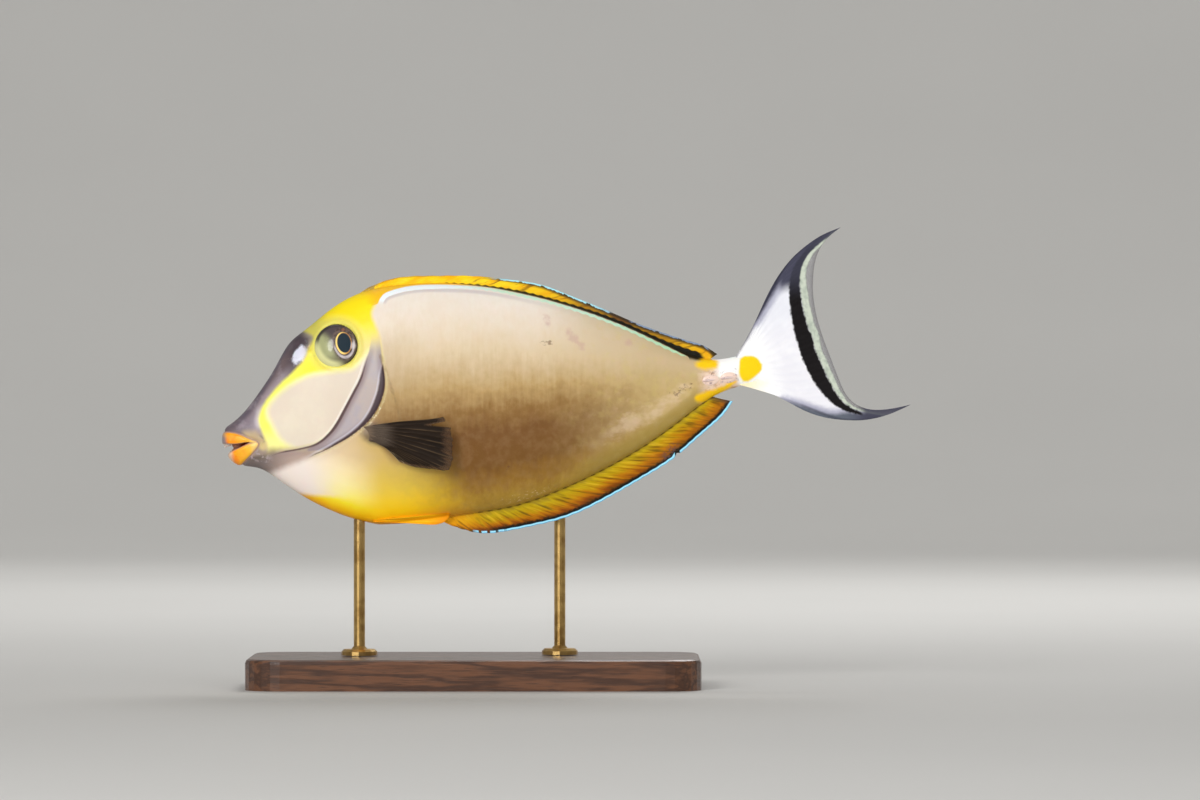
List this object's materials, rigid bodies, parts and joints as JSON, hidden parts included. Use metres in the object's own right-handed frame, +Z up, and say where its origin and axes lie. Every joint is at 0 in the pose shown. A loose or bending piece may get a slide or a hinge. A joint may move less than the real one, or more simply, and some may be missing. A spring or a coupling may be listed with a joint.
{
  "type": "unicornfish model",
  "caption": "Life-size still model of a deep-bodied reef fish with a crescent tail, folded back fins and bladed tail stalk, held on a plain base by two short rods.",
  "frame": {"origin": "centre of the whole model's box at the underside of the base, which stands on the floor", "axes": "+X from the fish's head towards its tail, +Y to the fish's right side, +Z up"},
  "size_m": [0.2687, 0.088, 0.1791],
  "materials": {
    "head_skin": "smooth wet-looking skin, pinkish grey cheek, dark brow and a bright yellow band",
    "lip_skin": "moist orange lip",
    "gill_skin": "smooth grey-lilac gill cover with a dark edge",
    "flank_skin": "fine leathery skin, near white above and brown below",
    "eye_gloss": "clear glossy eye, dark iris",
    "yellow_fin": "yellow-orange fin membrane over fine rays",
    "white_fin": "pale fin membrane with a dark crescent",
    "dark_fin": "dark brown fin membrane over fine rays",
    "stand_wood": "dark stained hardwood, satin",
    "stand_metal": "brushed brass rod"
  },
  "bodies": {
    "root": {"head": "head_skin", "upper_lip": "lip_skin", "lower_lip": "lip_skin", "gill_cover_left": "gill_skin", "gill_cover_right": "gill_skin", "trunk": "flank_skin", "tail_stalk": "flank_skin", "eye_left": "eye_gloss", "eye_right": "eye_gloss", "dorsal_fin": "yellow_fin", "anal_fin": "yellow_fin", "tail_fin_upper": "white_fin", "tail_fin_middle": "white_fin", "tail_fin_lower": "white_fin", "pectoral_fin_left": "dark_fin", "pectoral_fin_right": "dark_fin", "pelvic_fin_left": "yellow_fin", "pelvic_fin_right": "yellow_fin", "stand_base": "stand_wood", "stand_rod_front": "stand_metal", "stand_rod_rear": "stand_metal"}
  },
  "joints": []
}
